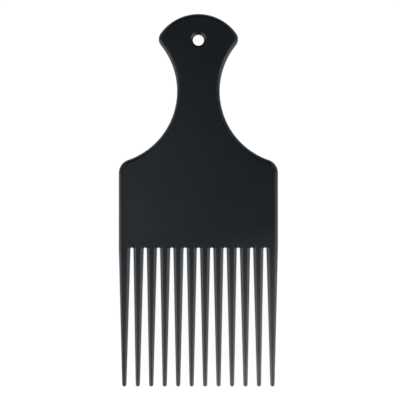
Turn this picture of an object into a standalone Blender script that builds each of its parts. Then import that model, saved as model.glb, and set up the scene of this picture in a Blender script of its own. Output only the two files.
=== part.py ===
# Styling comb, an afro pick: a flat blade with twelve long tapering teeth, a waisted
# handle and a flared head with a hanging hole. The real one is a single injection
# moulding of black plastic, so it is one solid.
#
# It lies on its back. X is its width, +Y runs from the teeth to the hanging hole and +Z
# is its thickness. The origin is in the middle of its length and width, on the surface
# that it lies on.

import math
from collections import namedtuple

import bmesh
import bpy
from mathutils import Vector

mm = 0.001

# Teeth and the slots between them, measured at the parting line
TOOTH_COUNT = 12
TOOTH_LENGTH = 63.5 * mm
TIP_PITCH = 6.16 * mm
TIP_WIDTH = 1.9 * mm
TIP_LAND_WIDTH = 0.6 * mm
TIP_THICKNESS = 2.0 * mm
TIP_FLANK_DEPTH = 0.55 * mm
SLOT_PITCH = 6.08 * mm
SLOT_WIDTH = 1.45 * mm
SLOT_CORNER_RADIUS = 0.6 * mm
FLANK_WIDTH = 1.1 * mm
FLANK_DEPTH = 1.0 * mm
SLOT_END_FLANK_WIDTH = 0.5 * mm
OUTER_TOOTH_WIDTH = 5.275 * mm

# Blade and handle, each height measured up from the one before it
PLATE_THICKNESS = 4.2 * mm
EDGE_ROUND = 2.1 * mm
PARTING_BAND = 0.4 * mm
BLADE_HEIGHT = 34.2 * mm
BLADE_CORNER_RADIUS = 6.3 * mm
NECK_HEIGHT = 37.4 * mm
NECK_WIDTH = 19.5 * mm
HEAD_HEIGHT = 23.8 * mm
HEAD_WIDTH = 36.25 * mm
HEAD_CORNER_RADIUS = 4.6 * mm
DOME_RISE = 11.5 * mm

# Hanging hole, with its centre a little below the widest line of the head
HOLE_DIAMETER = 5.1 * mm
HOLE_DROP = 0.55 * mm
HOLE_RIM_WIDTH = 1.15 * mm
HOLE_RIM_DEPTH = 1.0 * mm
CUTTER_OVERRUN = 1.0 * mm

# Section of the rim: 2 is a quarter round, 1 would be a flat bevel
EDGE_ROUNDNESS = 2.0
FLANK_ROUNDNESS = 1.2
TIP_ROUNDNESS = 1.8

# Fineness of the facets
ARC_TOLERANCE = 0.02 * mm
RIM_STEPS = 4
TOOTH_STEPS = 4

# Sizes that follow from the ones above
SLOT_COUNT = TOOTH_COUNT - 1
BLADE_WIDTH = (SLOT_COUNT - 1) * SLOT_PITCH + SLOT_WIDTH + 2 * OUTER_TOOTH_WIDTH
TIP_RADIUS = TIP_WIDTH / 2
TIP_FLANK_WIDTH = (TIP_WIDTH - TIP_LAND_WIDTH) / 2
EDGE_DEPTH = (PLATE_THICKNESS - PARTING_BAND) / 2
LENGTH = TOOTH_LENGTH + BLADE_HEIGHT + NECK_HEIGHT + HEAD_HEIGHT + DOME_RISE

# Levels along the length, with the teeth pointing to -Y
TIP_Y = -LENGTH / 2
ROOT_Y = TIP_Y + TOOTH_LENGTH
TOOTH_START_Y = ROOT_Y - SLOT_CORNER_RADIUS
BLADE_CORNER_Y = ROOT_Y + BLADE_HEIGHT
NECK_Y = BLADE_CORNER_Y + NECK_HEIGHT
HEAD_Y = NECK_Y + HEAD_HEIGHT

# The section of a rim: how far it runs in from the outline, how far down from the face
# it starts, how round it is, and half the thickness there. Below it the wall is straight.
Rim = namedtuple("Rim", "inset depth roundness half_thickness")
EDGE_RIM = Rim(EDGE_ROUND, EDGE_DEPTH, EDGE_ROUNDNESS, PLATE_THICKNESS / 2)
FLANK_RIM = Rim(FLANK_WIDTH, FLANK_DEPTH, FLANK_ROUNDNESS, PLATE_THICKNESS / 2)
TIP_RIM = Rim(TIP_FLANK_WIDTH, TIP_FLANK_DEPTH, TIP_ROUNDNESS, TIP_THICKNESS / 2)

# One point of the outline at the parting line, the direction out of the plastic, and rim
RimPoint = namedtuple("RimPoint", "x y out_x out_y rim")


def arc_steps(radius, sweep):
    """Even number of chords that keeps an arc within the tolerance."""
    widest = 2 * math.acos(1 - min(ARC_TOLERANCE / radius, 1))
    return 2 * max(1, math.ceil(abs(sweep) / widest / 2))


def rim_arc(centre, radius, start, end, outward, rim):
    """Outline points on an arc. outward is 1 on a convex arc and -1 on a hollow one."""
    points = []
    steps = arc_steps(radius, end - start)
    for step in range(steps + 1):
        angle = start + (end - start) * step / steps
        across, along = math.cos(angle), math.sin(angle)
        x = centre[0] + radius * across
        y = centre[1] + radius * along
        points.append(RimPoint(x, y, outward * across, outward * along, rim))
    return points


def plate_arc(centre, radius, start, end, outward):
    """An arc of the blade's or handle's outer edge."""
    return rim_arc(centre, radius, start, end, outward, EDGE_RIM)


def waist_radius(corner_x, corner_y, corner_radius):
    """Radius of the hollow arc that leaves the neck straight and meets a corner arc."""
    across = NECK_WIDTH / 2 - corner_x
    along = NECK_Y - corner_y
    reach = across**2 + along**2 - corner_radius**2
    return reach / (2 * (corner_radius - across))


def right_edge():
    """The outer edge from the root of the last tooth up to the top of the dome."""
    blade_x = BLADE_WIDTH / 2 - BLADE_CORNER_RADIUS
    head_x = HEAD_WIDTH / 2 - HEAD_CORNER_RADIUS

    # The dome's centre lies on the axis, where its arc meets the head's corners.
    above_corner = DOME_RISE - HEAD_CORNER_RADIUS
    below_head = (head_x**2 - above_corner**2) / (2 * above_corner)
    dome_radius = DOME_RISE + below_head
    dome_y = HEAD_Y - below_head

    lower = waist_radius(blade_x, BLADE_CORNER_Y, BLADE_CORNER_RADIUS)
    upper = waist_radius(head_x, HEAD_Y, HEAD_CORNER_RADIUS)
    lower_x = NECK_WIDTH / 2 + lower
    upper_x = NECK_WIDTH / 2 + upper
    shoulder = math.atan2(NECK_Y - BLADE_CORNER_Y, lower_x - blade_x)
    flare = math.atan2(NECK_Y - HEAD_Y, upper_x - head_x)
    dome = math.atan2(HEAD_Y - dome_y, head_x)

    blade_corner = (blade_x, BLADE_CORNER_Y)
    head_corner = (head_x, HEAD_Y)
    edge = plate_arc(blade_corner, BLADE_CORNER_RADIUS, 0, shoulder, 1)
    edge += plate_arc((lower_x, NECK_Y), lower, math.pi + shoulder, math.pi, -1)[1:]
    edge += plate_arc((upper_x, NECK_Y), upper, math.pi, math.pi + flare, -1)[1:]
    edge += plate_arc(head_corner, HEAD_CORNER_RADIUS, flare, dome, 1)[1:]
    edge += plate_arc((0, dome_y), dome_radius, dome, math.pi / 2, 1)[1:]
    return edge


def slot_x(slot):
    """Centre line of a slot at its root."""
    return (slot - (SLOT_COUNT - 1) / 2) * SLOT_PITCH


def slot_end(slot):
    """The rounded upper end of a slot, from its left wall over to its right wall."""
    centre_y = ROOT_Y - SLOT_CORNER_RADIUS
    offset = SLOT_WIDTH / 2 - SLOT_CORNER_RADIUS
    left = (slot_x(slot) - offset, centre_y)
    right = (slot_x(slot) + offset, centre_y)
    half_turn, quarter_turn = math.pi, math.pi / 2
    end = rim_arc(left, SLOT_CORNER_RADIUS, half_turn, quarter_turn, -1, FLANK_RIM)
    end += rim_arc(right, SLOT_CORNER_RADIUS, quarter_turn, 0, -1, FLANK_RIM)
    return [narrowed(point) for point in end]


def narrowed(point):
    """The flank gets narrower round the end of a slot, down to its least at the top."""
    turned = point.out_y**2
    inset = FLANK_WIDTH + (SLOT_END_FLANK_WIDTH - FLANK_WIDTH) * turned
    return point._replace(rim=point.rim._replace(inset=inset))


def side_angle(root_x, tip_centre, turn):
    """Direction out of a tooth's straight side, which runs on into the round tip."""
    across = root_x - tip_centre[0]
    along = TOOTH_START_Y - tip_centre[1]
    reach = math.hypot(across, along)
    return math.atan2(along, across) + turn * math.acos(TIP_RADIUS / reach)


def tooth_side(root_x, tip_centre, angle, root_rim):
    """Outline points down one straight side of a tooth, without its two ends."""
    out_x, out_y = math.cos(angle), math.sin(angle)
    end_x = tip_centre[0] + TIP_RADIUS * out_x
    end_y = tip_centre[1] + TIP_RADIUS * out_y
    points = []
    for step in range(TOOTH_STEPS + 1):
        share = step / TOOTH_STEPS
        x = root_x + (end_x - root_x) * share
        y = TOOTH_START_Y + (end_y - TOOTH_START_Y) * share
        pairs = zip(root_rim, TIP_RIM)
        rim = Rim(*[at_root + (at_tip - at_root) * share for at_root, at_tip in pairs])
        points.append(RimPoint(x, y, out_x, out_y, rim))
    return points


def tooth(number):
    """Left side, tip and right side of one tooth, in the order of the outline."""
    first, last = number == 0, number == TOOTH_COUNT - 1
    tip_centre = ((number - (TOOTH_COUNT - 1) / 2) * TIP_PITCH, TIP_Y + TIP_RADIUS)
    left_x = -BLADE_WIDTH / 2 if first else slot_x(number - 1) + SLOT_WIDTH / 2
    right_x = BLADE_WIDTH / 2 if last else slot_x(number) - SLOT_WIDTH / 2
    left_rim = EDGE_RIM if first else FLANK_RIM
    right_rim = EDGE_RIM if last else FLANK_RIM

    left_angle = side_angle(left_x, tip_centre, 1)
    right_angle = side_angle(right_x, tip_centre, -1)
    left = tooth_side(left_x, tip_centre, left_angle, left_rim)
    right = tooth_side(right_x, tip_centre, right_angle, right_rim)
    right.reverse()
    last_angle = right_angle + 2 * math.pi
    tip = rim_arc(tip_centre, TIP_RADIUS, left_angle, last_angle, 1, TIP_RIM)
    return left, tip[1:-1], right


def rim_share(height_share, roundness):
    """How far in the rim has run, as a share of its width, at a share of its height."""
    left_over = max(0, 1 - height_share**roundness)
    return 1 - left_over ** (1 / roundness)


def comb_outline():
    """All points of the outline, and the runs of them that close each flat face."""
    right = right_edge()
    left = [point._replace(x=-point.x, out_x=-point.out_x) for point in reversed(right)]
    outline = right + left[1:]
    blade_face = list(range(len(outline)))
    tooth_faces = []
    for number in range(TOOTH_COUNT):
        left_side, tip, right_side = tooth(number)
        start = len(outline)
        outline += left_side + tip + right_side
        stop = len(outline)
        blade_face += [start, stop - 1]
        for step in range(TOOTH_STEPS):
            upper, lower = start + step, start + step + 1
            tooth_faces.append([upper, lower, stop - 2 - step, stop - 1 - step])
        tooth_faces.append(list(range(start + TOOTH_STEPS, stop - TOOTH_STEPS)))
        if number < SLOT_COUNT:
            end = slot_end(number)
            blade_face += range(len(outline), len(outline) + len(end) - 2)
            outline += end[1:-1]
    return outline, [blade_face] + tooth_faces


def build_comb(material):
    """Lofts the outline through the steps of its rim and closes both flat faces."""
    outline, faces = comb_outline()
    shell = bmesh.new()
    steps = list(range(RIM_STEPS + 1))
    rings = []
    for side, step in [(-1, step) for step in reversed(steps)] + [(1, step) for step in steps]:
        height_share = math.sin(math.pi / 2 * step / RIM_STEPS)
        ring = []
        for point in outline:
            rim = point.rim
            inset = rim.inset * rim_share(height_share, rim.roundness)
            wall = rim.half_thickness - rim.depth
            place = Vector((point.x, point.y, PLATE_THICKNESS / 2))
            place -= inset * Vector((point.out_x, point.out_y, 0))
            place.z += side * (wall + height_share * rim.depth)
            ring.append(shell.verts.new(place))
        rings.append(ring)

    count = len(outline)
    for below, above in zip(rings, rings[1:]):
        for index in range(count):
            after = (index + 1) % count
            shell.faces.new((below[index], below[after], above[after], above[index]))
    for face in faces:
        shell.faces.new([rings[-1][index] for index in face])
        shell.faces.new([rings[0][index] for index in reversed(face)])

    mesh = bpy.data.meshes.new("comb")
    shell.to_mesh(mesh)
    shell.free()
    mesh.materials.append(material)
    mesh.shade_smooth()
    mesh.set_sharp_from_angle(angle=math.radians(35))
    comb = bpy.data.objects.new("comb", mesh)
    bpy.context.collection.objects.link(comb)
    return comb


def hole_profile():
    """Radius and height down the hole: a sloping rim, a straight bore and a rim again."""
    bore = HOLE_DIAMETER / 2
    mouth = bore + HOLE_RIM_WIDTH
    upper = [(mouth, PLATE_THICKNESS + CUTTER_OVERRUN)]
    for step in range(RIM_STEPS + 1):
        height_share = math.cos(math.pi / 2 * step / RIM_STEPS)
        radius = bore + HOLE_RIM_WIDTH * rim_share(height_share, FLANK_ROUNDNESS)
        upper.append((radius, PLATE_THICKNESS - HOLE_RIM_DEPTH * (1 - height_share)))
    lower = [(radius, PLATE_THICKNESS - height) for radius, height in reversed(upper)]
    return upper + lower


def cut_hole(comb):
    """Cuts the hanging hole with a turned shape that has its flared mouths on both faces."""
    cutter_mesh = bpy.data.meshes.new("hole_cutter")
    turned = bmesh.new()
    profile = [turned.verts.new((radius, 0, height)) for radius, height in hole_profile()]
    edges = [turned.edges.new(pair) for pair in zip(profile, profile[1:])]
    bmesh.ops.spin(
        turned,
        geom=profile + edges,
        axis=(0, 0, 1),
        cent=(0, 0, 0),
        angle=2 * math.pi,
        steps=arc_steps(HOLE_DIAMETER / 2, 2 * math.pi),
        use_merge=True,
    )
    rims = [edge for edge in turned.edges if edge.is_boundary]
    bmesh.ops.holes_fill(turned, edges=rims)
    bmesh.ops.recalc_face_normals(turned, faces=turned.faces)
    turned.to_mesh(cutter_mesh)
    turned.free()

    cutter = bpy.data.objects.new("hole_cutter", cutter_mesh)
    cutter.location = (0, HEAD_Y - HOLE_DROP, 0)
    cutter.hide_render = True
    cutter.display_type = "WIRE"
    bpy.context.collection.objects.link(cutter)
    hole = comb.modifiers.new("hanging hole", "BOOLEAN")
    hole.operation = "DIFFERENCE"
    hole.solver = "EXACT"
    hole.object = cutter


def black_plastic():
    """Satin black moulded plastic, faintly blue."""
    material = bpy.data.materials.new("black moulded plastic")
    material.use_nodes = True
    shader = material.node_tree.nodes["Principled BSDF"]
    shader.inputs["Base Color"].default_value = (0.014, 0.016, 0.019, 1)
    shader.inputs["Roughness"].default_value = 0.38
    shader.inputs["Metallic"].default_value = 0
    return material


def main():
    for leftover in list(bpy.data.objects):
        bpy.data.objects.remove(leftover, do_unlink=True)
    comb = build_comb(black_plastic())
    cut_hole(comb)


main()
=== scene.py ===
import math

import bmesh
import bpy
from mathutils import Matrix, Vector


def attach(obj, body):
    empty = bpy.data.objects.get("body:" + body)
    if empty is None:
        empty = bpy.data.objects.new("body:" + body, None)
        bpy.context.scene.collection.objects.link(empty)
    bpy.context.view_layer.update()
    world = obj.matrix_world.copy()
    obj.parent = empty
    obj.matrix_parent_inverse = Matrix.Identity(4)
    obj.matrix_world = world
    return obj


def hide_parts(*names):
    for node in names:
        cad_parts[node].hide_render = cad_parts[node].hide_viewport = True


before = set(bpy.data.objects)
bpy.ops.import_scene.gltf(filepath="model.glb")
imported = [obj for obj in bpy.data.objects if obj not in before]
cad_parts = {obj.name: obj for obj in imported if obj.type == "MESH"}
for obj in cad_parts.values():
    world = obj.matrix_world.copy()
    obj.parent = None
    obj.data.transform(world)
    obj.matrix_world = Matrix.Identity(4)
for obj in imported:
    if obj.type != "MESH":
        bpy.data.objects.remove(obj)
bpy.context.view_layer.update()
mm = 0.001
near = 1e-6  # metres; points closer than this are taken as one
slack = 0.01  # mm that a test of place may be off
print("frame: the packed comb is loaded")


# Camera, light and floor. The comb lies on its back and is seen from straight above.

studio = {
    "pictureWidth": 183.04,  # mm of the comb's parting line that the picture takes in
    "cameraHeight": 500.0,  # mm above the parting line, from how much of the hole's wall shows
    "cameraPlace": (0.73, 0.11),  # mm off the comb's middle
    # colour, degrees round from the teeth's end, degrees up, distance, width and height in mm,
    # and brightness where 1 is white
    "softBoxes": {
        "left": ("f6faff", -62, 17, 950, 1000, 560, 3.4),
        "right": ("f6faff", 62, 16, 950, 1000, 540, 3.45),
        "backLeft": ("f6faff", -125, 33, 950, 500, 300, 1.8),
        "backRight": ("f6faff", 125, 33, 950, 500, 300, 1.75),
        "highLeft": ("e6f4ff", -80, 50, 1000, 300, 300, 1.15),
        "highRight": ("e6f4ff", 80, 50, 1000, 300, 300, 4.2),
        "topLeft": ("e6f4ff", -100, 79.3, 1500, 200, 300, 3.9),
        "topFront": ("e6f4ff", -15, 78, 1500, 180, 180, 4.1),
        "topRight": ("e6f4ff", 56, 75.6, 1500, 180, 180, 1.9),
    },
    "room": ("ffffff", 0.08),  # colour and brightness of the walls
    "floorWidth": 8000.0,
    "floorPaint": "7e7e7d",
    "floorGlow": 0.95,  # share of plain white added where a camera or a reflection sees it
}


def linear(hexColour):
    # sRGB hex to the linear colour that a shader takes
    parts = [int(hexColour[i:i + 2], 16) / 255 for i in (0, 2, 4)]
    light = [c / 12.92 if c <= 0.04045 else ((c + 0.055) / 1.055) ** 2.4 for c in parts]
    return (*light, 1)


def addNode(tree, kind, inputs=None, **settings):
    # a node with its settings; an input is a plain value or the socket that feeds it
    made = tree.nodes.new(kind)
    for name, value in settings.items():
        setattr(made, name, value)
    for name, value in (inputs or {}).items():
        if isinstance(value, bpy.types.NodeSocket):
            tree.links.new(value, made.inputs[name])
        else:
            made.inputs[name].default_value = value
    return made


def addCamera():
    lens = bpy.data.cameras.new("camera")
    lens.sensor_width = 36
    lens.lens = 36 * studio["cameraHeight"] / studio["pictureWidth"]
    camera = bpy.data.objects.new("camera", lens)
    x, y = studio["cameraPlace"]
    camera.location = (x * mm, y * mm, (comb["thickness"] / 2 + studio["cameraHeight"]) * mm)
    bpy.context.scene.collection.objects.link(camera)
    bpy.context.scene.camera = camera


def addSoftBox(name, colour, turn, tilt, distance, width, height, brightness):
    # a flat panel of even light that faces the comb
    lamp = bpy.data.lights.new(name + "SoftBox", "AREA")
    lamp.shape = "RECTANGLE"
    lamp.color = linear(colour)[:3]
    lamp.size = width * mm
    lamp.size_y = height * mm
    lamp.energy = brightness * math.pi * lamp.size * lamp.size_y
    box = bpy.data.objects.new(name + "SoftBox", lamp)
    around, up = math.radians(turn), math.radians(tilt)
    toward = (math.sin(around) * math.cos(up), -math.cos(around) * math.cos(up), math.sin(up))
    box.location = [distance * mm * part for part in toward]
    box.rotation_euler = (math.radians(90) - up, 0, around)
    box.visible_camera = False
    bpy.context.scene.collection.objects.link(box)


def addRoom():
    world = bpy.data.worlds.new("room")
    bpy.context.scene.world = world
    world.use_nodes = True
    paint, strength = studio["room"]
    walls = world.node_tree.nodes["Background"]
    walls.inputs["Color"].default_value = linear(paint)
    walls.inputs["Strength"].default_value = strength


def addFloor():
    bpy.ops.object.select_all(action="DESELECT")
    bpy.ops.mesh.primitive_plane_add(size=studio["floorWidth"] * mm)
    floor = bpy.context.object
    floor.name = "floor"

    paint = bpy.data.materials.new("white table top")
    paint.use_nodes = True
    tree = paint.node_tree
    tree.nodes.clear()
    matt = addNode(tree, "ShaderNodeBsdfDiffuse", {"Color": linear(studio["floorPaint"])})
    ray = addNode(tree, "ShaderNodeLightPath")
    seen = addNode(tree, "ShaderNodeMath", {
        0: ray.outputs["Is Camera Ray"], 1: ray.outputs["Is Glossy Ray"]}, operation="MAXIMUM")
    seen = addNode(tree, "ShaderNodeMath", {
        0: seen.outputs[0], 1: ray.outputs["Is Transmission Ray"]}, operation="MAXIMUM")
    glow = addNode(tree, "ShaderNodeMath", {
        0: seen.outputs[0], 1: studio["floorGlow"]}, operation="MULTIPLY")
    white = addNode(tree, "ShaderNodeEmission", {"Strength": glow.outputs[0]})
    both = addNode(tree, "ShaderNodeAddShader", {0: matt.outputs[0], 1: white.outputs[0]})
    addNode(tree, "ShaderNodeOutputMaterial", {"Surface": both.outputs[0]})
    floor.data.materials.append(paint)


# The comb: one moulding, flat blade, twelve tapering teeth, waisted handle, flared head.
# Sizes are in mm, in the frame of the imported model: +Y runs to the hanging hole.

comb = {
    "thickness": 4.2,
    "edgeRound": 2.0,
    "edgeSteps": 14,
    "arcStep": 0.003,  # how far a chord may leave its arc
    "smoothAngle": 30.0,  # edges that turn by more degrees than this stay crisp
    # outline, with the places of its arcs' centres along the comb
    "topY": 85.2,
    "headY": 73.7,
    "headWidth": 36.25,
    "headCorner": 4.6,
    "neckY": 49.9,
    "neckWidth": 19.5,
    "bladeCornerY": 12.5,
    "bladeCorner": 6.3,
    "bladeWidth": 72.8,
    # slots and teeth, at the parting line
    "slotCount": 11,
    "rootY": -21.7,
    "slotPitch": 6.08,
    "slotWidth": 1.38,
    "slotCorner": 0.6,
    "tipY": -85.2,
    "tipPitch": 6.16,
    "tipWidth": 2.0,
    "tipThickness": 2.0,
    "thinAfter": 1.0,  # length of the teeth's sides before they start to thin
    # flanks, the sloping edges that catch the light: width, and height of the wall below
    "rootFlank": (1.3, 1.28),
    "tipFlank": (0.74, 0.45),
    "slotEndFlank": 0.55,
    "wallDraft": 0.04,
    "cutterOver": 0.3,  # how far the slot cutter stands clear of the faces
    "cutterReach": 3.0,  # how far it runs past the tips
    # ridges between flanks and faces
    "ridgeRound": 0.12,
    "ridgeSteps": 3,
    "ridgeAngles": (22.0, 80.0),  # least and most degrees that a softened edge turns by
    "ridgeEndArea": 0.5,  # square mm
    # round ends of the teeth
    "tipSteps": 7,
    "tipTurn": 84.0,  # degrees that the end turns before its small flat point
    "tipDrop": 0.6,  # share of its thickness that a tooth loses round its tip
}

hangingHole = {
    "y": 73.15,
    "bore": 5.1,
    "rimWidth": 1.15,
    "rimDepth": 1.0,
    "sides": 96,
    "cutterOver": 0.5,
}

mouldMarks = {
    "partingRidge": 0.03,  # how proud the line stands where the mould's halves meet
    "ridgeSpread": 1.5,  # width of each of its slopes, in heights
    "ejectors": [(-24, -8), (24, -8), (0, 6), (0, 36), (0, 62)],  # on the back
    "ejectorWidth": 5.0,
    "ejectorDepth": 0.07,
    "ejectorSides": 64,
}


def editShape(piece):
    return bmesh.from_edit_mesh(piece.data)


def pick(piece, kind, test):
    # selects the vertices, edges or faces that pass the test, and nothing else
    bpy.ops.mesh.select_mode(type=kind)
    bpy.ops.mesh.select_all(action="DESELECT")
    shape = editShape(piece)
    parts = {"VERT": shape.verts, "EDGE": shape.edges, "FACE": shape.faces}[kind]
    for part in parts:
        if test(part):
            part.select = True
    shape.select_flush_mode()
    bmesh.update_edit_mesh(piece.data)


def startAt(name, x, y, z):
    # a new piece in edit mode, begun as one selected point
    bpy.ops.object.select_all(action="DESELECT")
    bpy.ops.mesh.primitive_plane_add(size=mm)
    piece = bpy.context.object
    piece.name = name
    bpy.ops.object.mode_set(mode="EDIT")
    bpy.ops.mesh.select_all(action="SELECT")
    bpy.ops.mesh.merge(type="CENTER")
    bpy.ops.transform.translate(value=(x * mm, y * mm, z * mm))
    return piece


def drawLine(x, y, z=0):
    bpy.ops.mesh.extrude_region_move(
        TRANSFORM_OT_translate={"value": (x * mm, y * mm, z * mm)})


def drawArc(x, y, radius, turn, z=0):
    # clockwise round a centre, in as many chords as keep it round
    chord = 2 * math.acos(1 - comb["arcStep"] / radius)
    steps = math.ceil(math.radians(abs(turn)) / chord)
    bpy.ops.mesh.spin(steps=steps, angle=math.radians(turn),
                      center=(x * mm, y * mm, z * mm), axis=(0, 0, 1))


def closeOutline(piece, endY):
    # mirrors the right half to the left and fills the outline
    bpy.ops.mesh.select_all(action="SELECT")
    bpy.ops.mesh.symmetrize(direction="POSITIVE_X", threshold=near / 10)
    pick(piece, "VERT", lambda v: v.co.y < (endY + slack) * mm)
    bpy.ops.mesh.edge_face_add()
    bpy.ops.mesh.select_all(action="SELECT")
    bpy.ops.mesh.edge_face_add()


def pickPiece(piece):
    bpy.ops.object.select_all(action="DESELECT")
    piece.select_set(True)
    bpy.context.view_layer.objects.active = piece


def applyModifier(piece, kind, **settings):
    pickPiece(piece)
    modifier = piece.modifiers.new("step", kind)
    for name, value in settings.items():
        setattr(modifier, name, value)
    bpy.ops.object.modifier_apply(modifier=modifier.name)


def cutAway(piece, cutter):
    applyModifier(piece, "BOOLEAN", operation="DIFFERENCE", solver="EXACT", object=cutter)
    bpy.data.objects.remove(cutter)


def straightY():
    # where the round ends of the slots become straight sides, and the teeth begin to narrow
    return comb["rootY"] - comb["slotCorner"]


def waistRadius(cornerX, cornerY, cornerRadius):
    # the hollow arc that leaves the neck straight and meets a corner's arc
    across = comb["neckWidth"] / 2 - cornerX
    along = comb["neckY"] - cornerY
    return (across ** 2 + along ** 2 - cornerRadius ** 2) / (2 * (cornerRadius - across))


def drawRightHalf():
    # from the top of the dome round to the straight side of the blade
    bladeX = comb["bladeWidth"] / 2 - comb["bladeCorner"]
    headX = comb["headWidth"] / 2 - comb["headCorner"]
    aboveCorner = comb["topY"] - comb["headY"] - comb["headCorner"]
    belowHead = (headX ** 2 - aboveCorner ** 2) / (2 * aboveCorner)
    domeRadius = comb["topY"] - comb["headY"] + belowHead
    lower = waistRadius(bladeX, comb["bladeCornerY"], comb["bladeCorner"])
    upper = waistRadius(headX, comb["headY"], comb["headCorner"])
    lowerX = comb["neckWidth"] / 2 + lower
    upperX = comb["neckWidth"] / 2 + upper
    dome = math.degrees(math.atan2(headX, belowHead))
    flare = math.degrees(math.atan2(comb["headY"] - comb["neckY"], upperX - headX))
    shoulder = math.degrees(math.atan2(comb["neckY"] - comb["bladeCornerY"], lowerX - bladeX))

    drawArc(0, comb["headY"] - belowHead, domeRadius, dome)
    drawArc(headX, comb["headY"], comb["headCorner"], 90 - dome + flare)
    drawArc(upperX, comb["neckY"], upper, -flare)
    drawArc(lowerX, comb["neckY"], lower, -shoulder)
    drawArc(bladeX, comb["bladeCornerY"], comb["bladeCorner"], shoulder)


def sideEnd(rootX, tipX, turn):
    # where a tooth's straight side runs into its round tip
    radius = comb["tipWidth"] / 2
    across = rootX - tipX
    along = straightY() - comb["tipY"] - radius
    angle = math.atan2(along, across) + turn * math.acos(radius / math.hypot(across, along))
    return tipX + radius * math.cos(angle), comb["tipY"] + radius + radius * math.sin(angle)


def makeBlank():
    # the comb without its slots: outline, thickness, rounded edge, and the thinning to the tips
    startY = straightY()
    half = comb["bladeWidth"] / 2
    endX, endY = sideEnd(half, comb["slotCount"] / 2 * comb["tipPitch"], -1)
    blank = startAt("comb_body", 0, comb["topY"], 0)
    drawRightHalf()
    drawLine(0, startY - comb["bladeCornerY"])
    drawLine(endX - half, endY - startY)
    closeOutline(blank, endY)
    drawLine(0, 0, comb["thickness"])
    bpy.ops.mesh.select_all(action="SELECT")
    bpy.ops.mesh.normals_make_consistent(inside=False)

    def onEnd(v):
        return v.co.y < (endY + slack) * mm

    def onRim(edge):
        level = abs(edge.verts[0].co.z - edge.verts[1].co.z) < near
        return level and not all(onEnd(v) for v in edge.verts)

    pick(blank, "EDGE", onRim)
    bpy.ops.mesh.bevel(offset=comb["edgeRound"] * mm, segments=comb["edgeSteps"],
                       profile=0.5, clamp_overlap=False)

    def onBand(face):
        centred = abs(face.calc_center_median().z - comb["thickness"] / 2 * mm) < near
        upright = abs(face.normal.z) < 0.01
        return centred and upright and not all(onEnd(v) for v in face.verts)

    pick(blank, "FACE", onBand)
    ridge = mouldMarks["partingRidge"] * mm
    bpy.ops.mesh.inset(thickness=mouldMarks["ridgeSpread"] * ridge, depth=ridge, use_boundary=False)

    bpy.ops.mesh.select_all(action="SELECT")
    # the comb gets thinner from this line to the tips
    bpy.ops.mesh.bisect(plane_co=(0, (startY - comb["thinAfter"]) * mm, 0), plane_no=(0, 1, 0),
                        threshold=near)
    pick(blank, "VERT", onEnd)
    bpy.ops.transform.resize(value=(1, 1, comb["tipThickness"] / comb["thickness"]),
                             center_override=(0, 0, comb["thickness"] / 2 * mm))
    squeeze = comb["tipFlank"][0] / comb["edgeRound"]
    inner = endX - comb["edgeRound"] - slack
    for side in (-1, 1):
        pick(blank, "VERT", lambda v: onEnd(v) and side * v.co.x > inner * mm)
        bpy.ops.transform.resize(value=(squeeze, 1, 1), center_override=(side * endX * mm, 0, 0))
    bpy.ops.object.mode_set(mode="OBJECT")
    return blank


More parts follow.
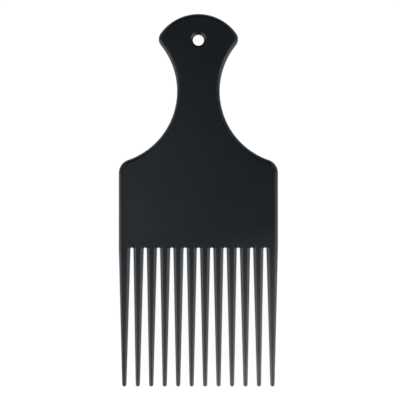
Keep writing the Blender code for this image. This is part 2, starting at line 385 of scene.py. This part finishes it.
def makeSlotCutter():
    # the middle slot, with the flanks of the two teeth beside it; it's copied to the other ten
    startY = straightY()
    farY = comb["tipY"] - comb["cutterReach"]
    half = comb["slotWidth"] / 2
    over = comb["cutterOver"]
    draft = comb["wallDraft"]
    flank, wall = comb["rootFlank"]
    top = comb["thickness"] / 2 + over
    slope = (flank - draft) / (comb["thickness"] / 2 - wall)
    spread = flank + slope * over
    corner = half - comb["slotCorner"]
    tipX, tipEndY = sideEnd(half, comb["tipPitch"] / 2, 1)
    lean = (tipX - half) / (startY - tipEndY)
    farX = half + lean * (startY - farY)

    cutter = startAt("slot_cutter", 0, comb["rootY"] + spread, top)
    drawLine(corner, 0)
    drawArc(corner, startY, comb["slotCorner"] + spread, 90, top)
    drawLine(farX - half, farY - startY)
    closeOutline(cutter, farY)
    bpy.ops.mesh.select_mode(type="FACE")
    bpy.ops.mesh.select_all(action="SELECT")
    if list(editShape(cutter).faces)[0].normal.z > 0:
        bpy.ops.mesh.flip_normals()
    bpy.ops.mesh.inset(thickness=(spread - draft) * mm, depth=(top - wall) * mm)
    bpy.ops.mesh.inset(thickness=draft * mm, depth=wall * mm)
    bpy.ops.mesh.delete(type="ONLY_FACE")
    pick(cutter, "VERT", lambda v: v.co.z > (top - slack) * mm)
    bpy.ops.mesh.edge_face_add()

    # the flank gets narrower round the end of the slot
    surface = (comb["slotEndFlank"] - draft) * (top - wall) / (top - over - wall) + draft
    narrower = (comb["slotCorner"] + surface) / (comb["slotCorner"] + spread)
    pick(cutter, "VERT",
         lambda v: v.co.z > (top - slack) * mm and v.co.y > (startY + slack) * mm)
    bpy.ops.transform.resize(value=(1, narrower, 1), center_override=(0, startY * mm, 0))

    # at the tips the teeth are thinner, and so are their flanks
    run = (startY - farY) / (startY - tipEndY)
    tipFlank, tipWall = comb["tipFlank"]
    tipSlope = (tipFlank - draft) / (comb["tipThickness"] / 2 - tipWall)
    tipTop = comb["tipThickness"] / 2 + over
    # height at the root and at the tip, and how far the cutter is spread there, level by level
    levels = [
        (top, tipTop, spread, tipFlank + tipSlope * over),
        (wall, tipWall, draft, draft),
        (0, 0, 0, 0),
    ]
    for rootZ, endZ, rootSpread, endSpread in levels:
        pick(cutter, "VERT",
             lambda v: abs(v.co.z - rootZ * mm) < near and v.co.y < comb["tipY"] * mm)
        reach = max(v.co.x for v in editShape(cutter).verts if v.select) / mm
        target = farX + rootSpread + (endSpread - rootSpread) * run
        rise = (rootZ + (endZ - rootZ) * run) / rootZ if rootZ else 1
        bpy.ops.transform.resize(value=(target / reach, 0, rise), center_override=(0, farY * mm, 0))
    bpy.ops.object.mode_set(mode="OBJECT")

    applyModifier(cutter, "MIRROR", use_axis=(False, False, True), merge_threshold=near)
    bpy.ops.object.mode_set(mode="EDIT")
    bpy.ops.mesh.select_all(action="SELECT")
    bpy.ops.mesh.normals_make_consistent(inside=False)
    bpy.ops.transform.translate(value=(0, 0, comb["thickness"] / 2 * mm))
    bpy.ops.object.mode_set(mode="OBJECT")
    return cutter


def cutSlots(piece):
    cutter = makeSlotCutter()
    along = straightY() - comb["tipY"]
    # the slots fan out a little towards the tips
    fan = (comb["tipPitch"] - comb["slotPitch"]) * (along + comb["cutterReach"]) / along
    for number in range(comb["slotCount"]):
        place = number - (comb["slotCount"] - 1) / 2
        pickPiece(cutter)
        bpy.ops.object.duplicate(linked=False)
        slot = bpy.context.object
        bpy.ops.object.mode_set(mode="EDIT")
        bpy.ops.mesh.select_all(action="SELECT")
        bpy.ops.transform.translate(value=(place * comb["slotPitch"] * mm, 0, 0))
        pick(slot, "VERT", lambda v: v.co.y < comb["tipY"] * mm)
        bpy.ops.transform.translate(value=(place * fan * mm, 0, 0))
        bpy.ops.object.mode_set(mode="OBJECT")
        cutAway(piece, slot)
    bpy.data.objects.remove(cutter)


def makeHoleCutter():
    # a turned shape: a straight bore with a sloping mouth at each face
    bore = hangingHole["bore"] / 2
    width = hangingHole["rimWidth"]
    depth = hangingHole["rimDepth"]
    top = comb["thickness"]
    over = hangingHole["cutterOver"]
    flare = width + over * width / depth
    cutter = startAt("hole_cutter", bore + flare, hangingHole["y"], top + over)
    drawLine(-flare, 0, -depth - over)
    drawLine(0, 0, 2 * depth - top)
    drawLine(flare, 0, -depth - over)
    bpy.ops.mesh.select_all(action="SELECT")
    bpy.ops.mesh.spin(steps=hangingHole["sides"], angle=math.radians(360),
                      center=(0, hangingHole["y"] * mm, 0), axis=(0, 0, 1))
    for side in (-1, 1):
        pick(cutter, "EDGE",
             lambda e: e.is_boundary and side * (e.verts[0].co.z - top / 2 * mm) > 0)
        bpy.ops.mesh.edge_face_add()
    bpy.ops.mesh.select_all(action="SELECT")
    bpy.ops.mesh.normals_make_consistent(inside=False)
    bpy.ops.object.mode_set(mode="OBJECT")
    return cutter


def softenRidges(piece):
    # rounds off where sloping flanks meet the faces above and the walls below
    lastTooth = comb["slotCount"] / 2 * comb["tipPitch"]  # its middle, at the tip
    endY = comb["tipY"] + comb["tipWidth"] / 2 + slack
    mouth = hangingHole["bore"] / 2 + hangingHole["rimWidth"] + slack
    least, most = comb["ridgeAngles"]
    hole = Vector((0, hangingHole["y"] * mm))

    def onTeeth(v):
        return v.co.y < (straightY() + slack) * mm and abs(v.co.x) < lastTooth * mm

    def onHole(v):
        return (v.co.xy - hole).length < mouth * mm

    def onRidge(edge):
        if not edge.is_manifold or all(v.co.y < endY * mm for v in edge.verts):
            return False
        placed = all(onTeeth(v) for v in edge.verts) or all(onHole(v) for v in edge.verts)
        return placed and least < math.degrees(edge.calc_face_angle()) < most

    bpy.ops.object.mode_set(mode="EDIT")
    pick(piece, "EDGE", onRidge)
    bpy.ops.mesh.bevel(offset=comb["ridgeRound"] * mm, segments=comb["ridgeSteps"],
                       profile=0.5, clamp_overlap=False)

    # where a soft ridge ends, its last faces are small, many-sided and not quite flat
    def onRidgeEnd(face):
        return len(face.verts) > 5 and face.calc_area() < comb["ridgeEndArea"] * mm ** 2

    pick(piece, "FACE", onRidgeEnd)
    bpy.ops.mesh.quads_convert_to_tris(quad_method="BEAUTY", ngon_method="BEAUTY")


def roundTips(piece):
    # each tooth's flat end is drawn out and in, step by step, to a round end
    radius = comb["tipWidth"] / 2
    centreY = comb["tipY"] + radius
    steps = comb["tipSteps"]
    for number in range(comb["slotCount"] + 1):
        x = (number - comb["slotCount"] / 2) * comb["tipPitch"]

        def onTip(face):
            middle = face.calc_center_median()
            return (middle.y < (centreY + slack) * mm
                    and abs(middle.x - x * mm) < comb["tipPitch"] / 4 * mm)

        pick(piece, "FACE", onTip)
        reach, width, height = 0.0, 1.0, 1.0
        for step in range(1, steps + 1):
            angle = math.radians(comb["tipTurn"] * step / steps)
            lastReach, lastWidth, lastHeight = reach, width, height
            reach, width = radius * math.sin(angle), math.cos(angle)
            height = 1 - comb["tipDrop"] * (1 - width)
            drawLine(0, lastReach - reach)
            bpy.ops.transform.resize(value=(width / lastWidth, 1, height / lastHeight),
                                     center_override=(x * mm, 0, comb["thickness"] / 2 * mm))
    bpy.ops.object.mode_set(mode="OBJECT")


def markBack(piece):
    # faint round marks where the mould's pins push the comb out
    depth = mouldMarks["ejectorDepth"]
    for x, y in mouldMarks["ejectors"]:
        bpy.ops.object.select_all(action="DESELECT")
        bpy.ops.mesh.primitive_cylinder_add(
            vertices=mouldMarks["ejectorSides"], radius=mouldMarks["ejectorWidth"] / 2 * mm,
            depth=2 * depth * mm, location=(x * mm, y * mm, 0))
        cutAway(piece, bpy.context.object)


def makeComb():
    piece = makeBlank()
    print("comb: blank", len(piece.data.polygons), "faces")
    cutSlots(piece)
    print("comb: slots cut", len(piece.data.polygons), "faces")
    cutAway(piece, makeHoleCutter())
    markBack(piece)
    print("comb: hole and marks", len(piece.data.polygons), "faces")
    pickPiece(piece)
    softenRidges(piece)
    roundTips(piece)
    print("comb: ridges and tips", len(piece.data.polygons), "faces")
    bpy.ops.object.shade_smooth_by_angle(angle=math.radians(comb["smoothAngle"]))
    applyModifier(piece, "WEIGHTED_NORMAL", keep_sharp=True)
    return piece


plastic = {
    "black": "0d1216",
    "blackWorn": "11161a",
    "roughness": 0.32,
    "ior": 1.42,
    # width of each pattern in mm, and how deep it is in mm
    "grain": (0.45, 0.004),
    "waves": (24.0, 0.035),
    "scratches": (0.35, 0.003),
    "scratchLength": 14.0,
    "scratchTurns": (8, -27),  # degrees off the comb's length
    "scratchCrest": (0.7, 0.78),  # the part of the noise that makes a scratch
    "scratchDull": 0.12,  # how much rougher it is inside a scratch
    "smudges": 17.0,
    "smudgeShine": 0.04,  # how far rubbing changes the roughness
    # painted light on the teeth, lighter towards their tips and more on one side, where the light
    # falls: colour, and how much on the way to the tips
    "paintedTipLight": "5f5b57",
    "paintedLightRamp": [(0.0, 0.0), (0.26, 0.14), (0.54, 0.36), (0.82, 0.52), (1.0, 1.0)],
    "paintedLightStart": -16.7,
    "paintedLightSlant": 12.0,  # degrees
    "paintedLightWidth": 72.0,
    "paintedLightSides": (0.62, 1.5),
}


def satinPlastic():
    # ABS with a little soot, injection moulded in a satin tool: a broad, soft sheen, a fine even
    # grain, plates that are never quite flat, and hairline scratches from use
    material = bpy.data.materials.new("black ABS, satin moulded")
    material.use_nodes = True
    tree = material.node_tree
    shader = tree.nodes["Principled BSDF"]
    shader.inputs["IOR"].default_value = plastic["ior"]
    place = addNode(tree, "ShaderNodeTexCoord").outputs["Object"]

    # rubbed patches, duller or shinier by turns
    smudge = addNode(tree, "ShaderNodeTexNoise", {
        "Vector": place, "Scale": 1 / (plastic["smudges"] * mm), "Detail": 5, "Roughness": 0.55,
        "Distortion": 0.4})
    shine = plastic["smudgeShine"]
    rubbed = addNode(tree, "ShaderNodeMapRange", {
        "Value": smudge.outputs[0], "From Min": 0.3, "From Max": 0.7,
        "To Min": plastic["roughness"] - shine, "To Max": plastic["roughness"] + shine})

    # hairline scratches: a noise drawn out in two directions, and only its crests kept
    width, scratchDepth = plastic["scratches"]
    low, high = plastic["scratchCrest"]
    lines = []
    for turn in plastic["scratchTurns"]:
        along = addNode(tree, "ShaderNodeMapping", {
            "Vector": place, "Rotation": (0, 0, math.radians(turn)),
            "Scale": (1 / (width * mm), 1 / (plastic["scratchLength"] * mm), 1 / (width * mm))})
        hair = addNode(tree, "ShaderNodeTexNoise", {
            "Vector": along.outputs[0], "Scale": 1, "Detail": 1})
        crest = addNode(tree, "ShaderNodeMapRange", {
            "Value": hair.outputs[0], "From Min": low, "From Max": high})
        lines.append(crest.outputs[0])
    scratch = addNode(tree, "ShaderNodeMath", {0: lines[0], 1: lines[1]}, operation="MAXIMUM")
    scuffed = addNode(tree, "ShaderNodeMath", {
        0: scratch.outputs[0], 1: plastic["scratchDull"], 2: rubbed.outputs[0]},
        operation="MULTIPLY_ADD")
    tree.links.new(scuffed.outputs[0], shader.inputs["Roughness"])

    # a colour mix takes its two colours at sockets 6 and 7, and gives the result at 2
    tone = addNode(tree, "ShaderNodeMix", {
        "Factor": smudge.outputs[0], 6: linear(plastic["black"]),
        7: linear(plastic["blackWorn"])}, data_type="RGBA")

    # painted light: the teeth turn lighter towards their points, and the painted light climbs a
    # little higher on one side
    slant = addNode(tree, "ShaderNodeMapping", {
        "Vector": place, "Rotation": (0, 0, math.radians(-plastic["paintedLightSlant"]))})
    apart = addNode(tree, "ShaderNodeSeparateXYZ", {0: slant.outputs[0]})
    down = addNode(tree, "ShaderNodeMapRange", {
        "Value": apart.outputs["Y"], "From Min": plastic["paintedLightStart"] * mm,
        "From Max": comb["tipY"] * mm})
    least, most = plastic["paintedLightSides"]
    half = plastic["paintedLightWidth"] / 2
    across = addNode(tree, "ShaderNodeMapRange", {
        "Value": apart.outputs["X"], "From Min": -half * mm, "From Max": half * mm,
        "To Min": least, "To Max": most})
    ramp = addNode(tree, "ShaderNodeValToRGB", {0: down.outputs[0]})
    stops = ramp.color_ramp.elements
    for share, amount in plastic["paintedLightRamp"]:
        stop = stops.new(share) if 0 < share < 1 else stops[-int(share)]  # the ends are there
        stop.color = (amount, amount, amount, 1)
    paintedLight = addNode(tree, "ShaderNodeMath", {0: ramp.outputs[0], 1: across.outputs[0]},
                   operation="MULTIPLY", use_clamp=True)
    # the painted light is mixed into the base colour here
    colour = addNode(tree, "ShaderNodeMix", {
        "Factor": paintedLight.outputs[0], 6: tone.outputs[2],
        7: linear(plastic["paintedTipLight"])}, data_type="RGBA")
    tree.links.new(colour.outputs[2], shader.inputs["Base Color"])

    # relief, from the finest to the broadest
    width, grainDepth = plastic["grain"]
    grain = addNode(tree, "ShaderNodeTexNoise", {
        "Vector": place, "Scale": 1 / (width * mm), "Detail": 2, "Roughness": 0.6})
    width, waveDepth = plastic["waves"]
    waves = addNode(tree, "ShaderNodeTexNoise", {
        "Vector": place, "Scale": 1 / (width * mm), "Detail": 1})
    relief = None
    for pattern, depth in ((grain, grainDepth), (scratch, scratchDepth), (waves, waveDepth)):
        layer = {"Height": pattern.outputs[0], "Distance": depth * mm, "Strength": 1}
        if relief:
            layer["Normal"] = relief.outputs[0]
        relief = addNode(tree, "ShaderNodeBump", layer)
    tree.links.new(relief.outputs[0], shader.inputs["Normal"])
    return material


addCamera()
for boxName, box in studio["softBoxes"].items():
    addSoftBox(boxName, *box)
addRoom()
addFloor()
bpy.context.scene.view_settings.view_transform = "Standard"
print("studio: camera, soft boxes and table are up")

combPiece = makeComb()
combPiece.data.materials.clear()
combPiece.data.materials.append(satinPlastic())
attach(combPiece, "root")
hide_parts("comb")

print("comb: in satin black plastic, on the root body")
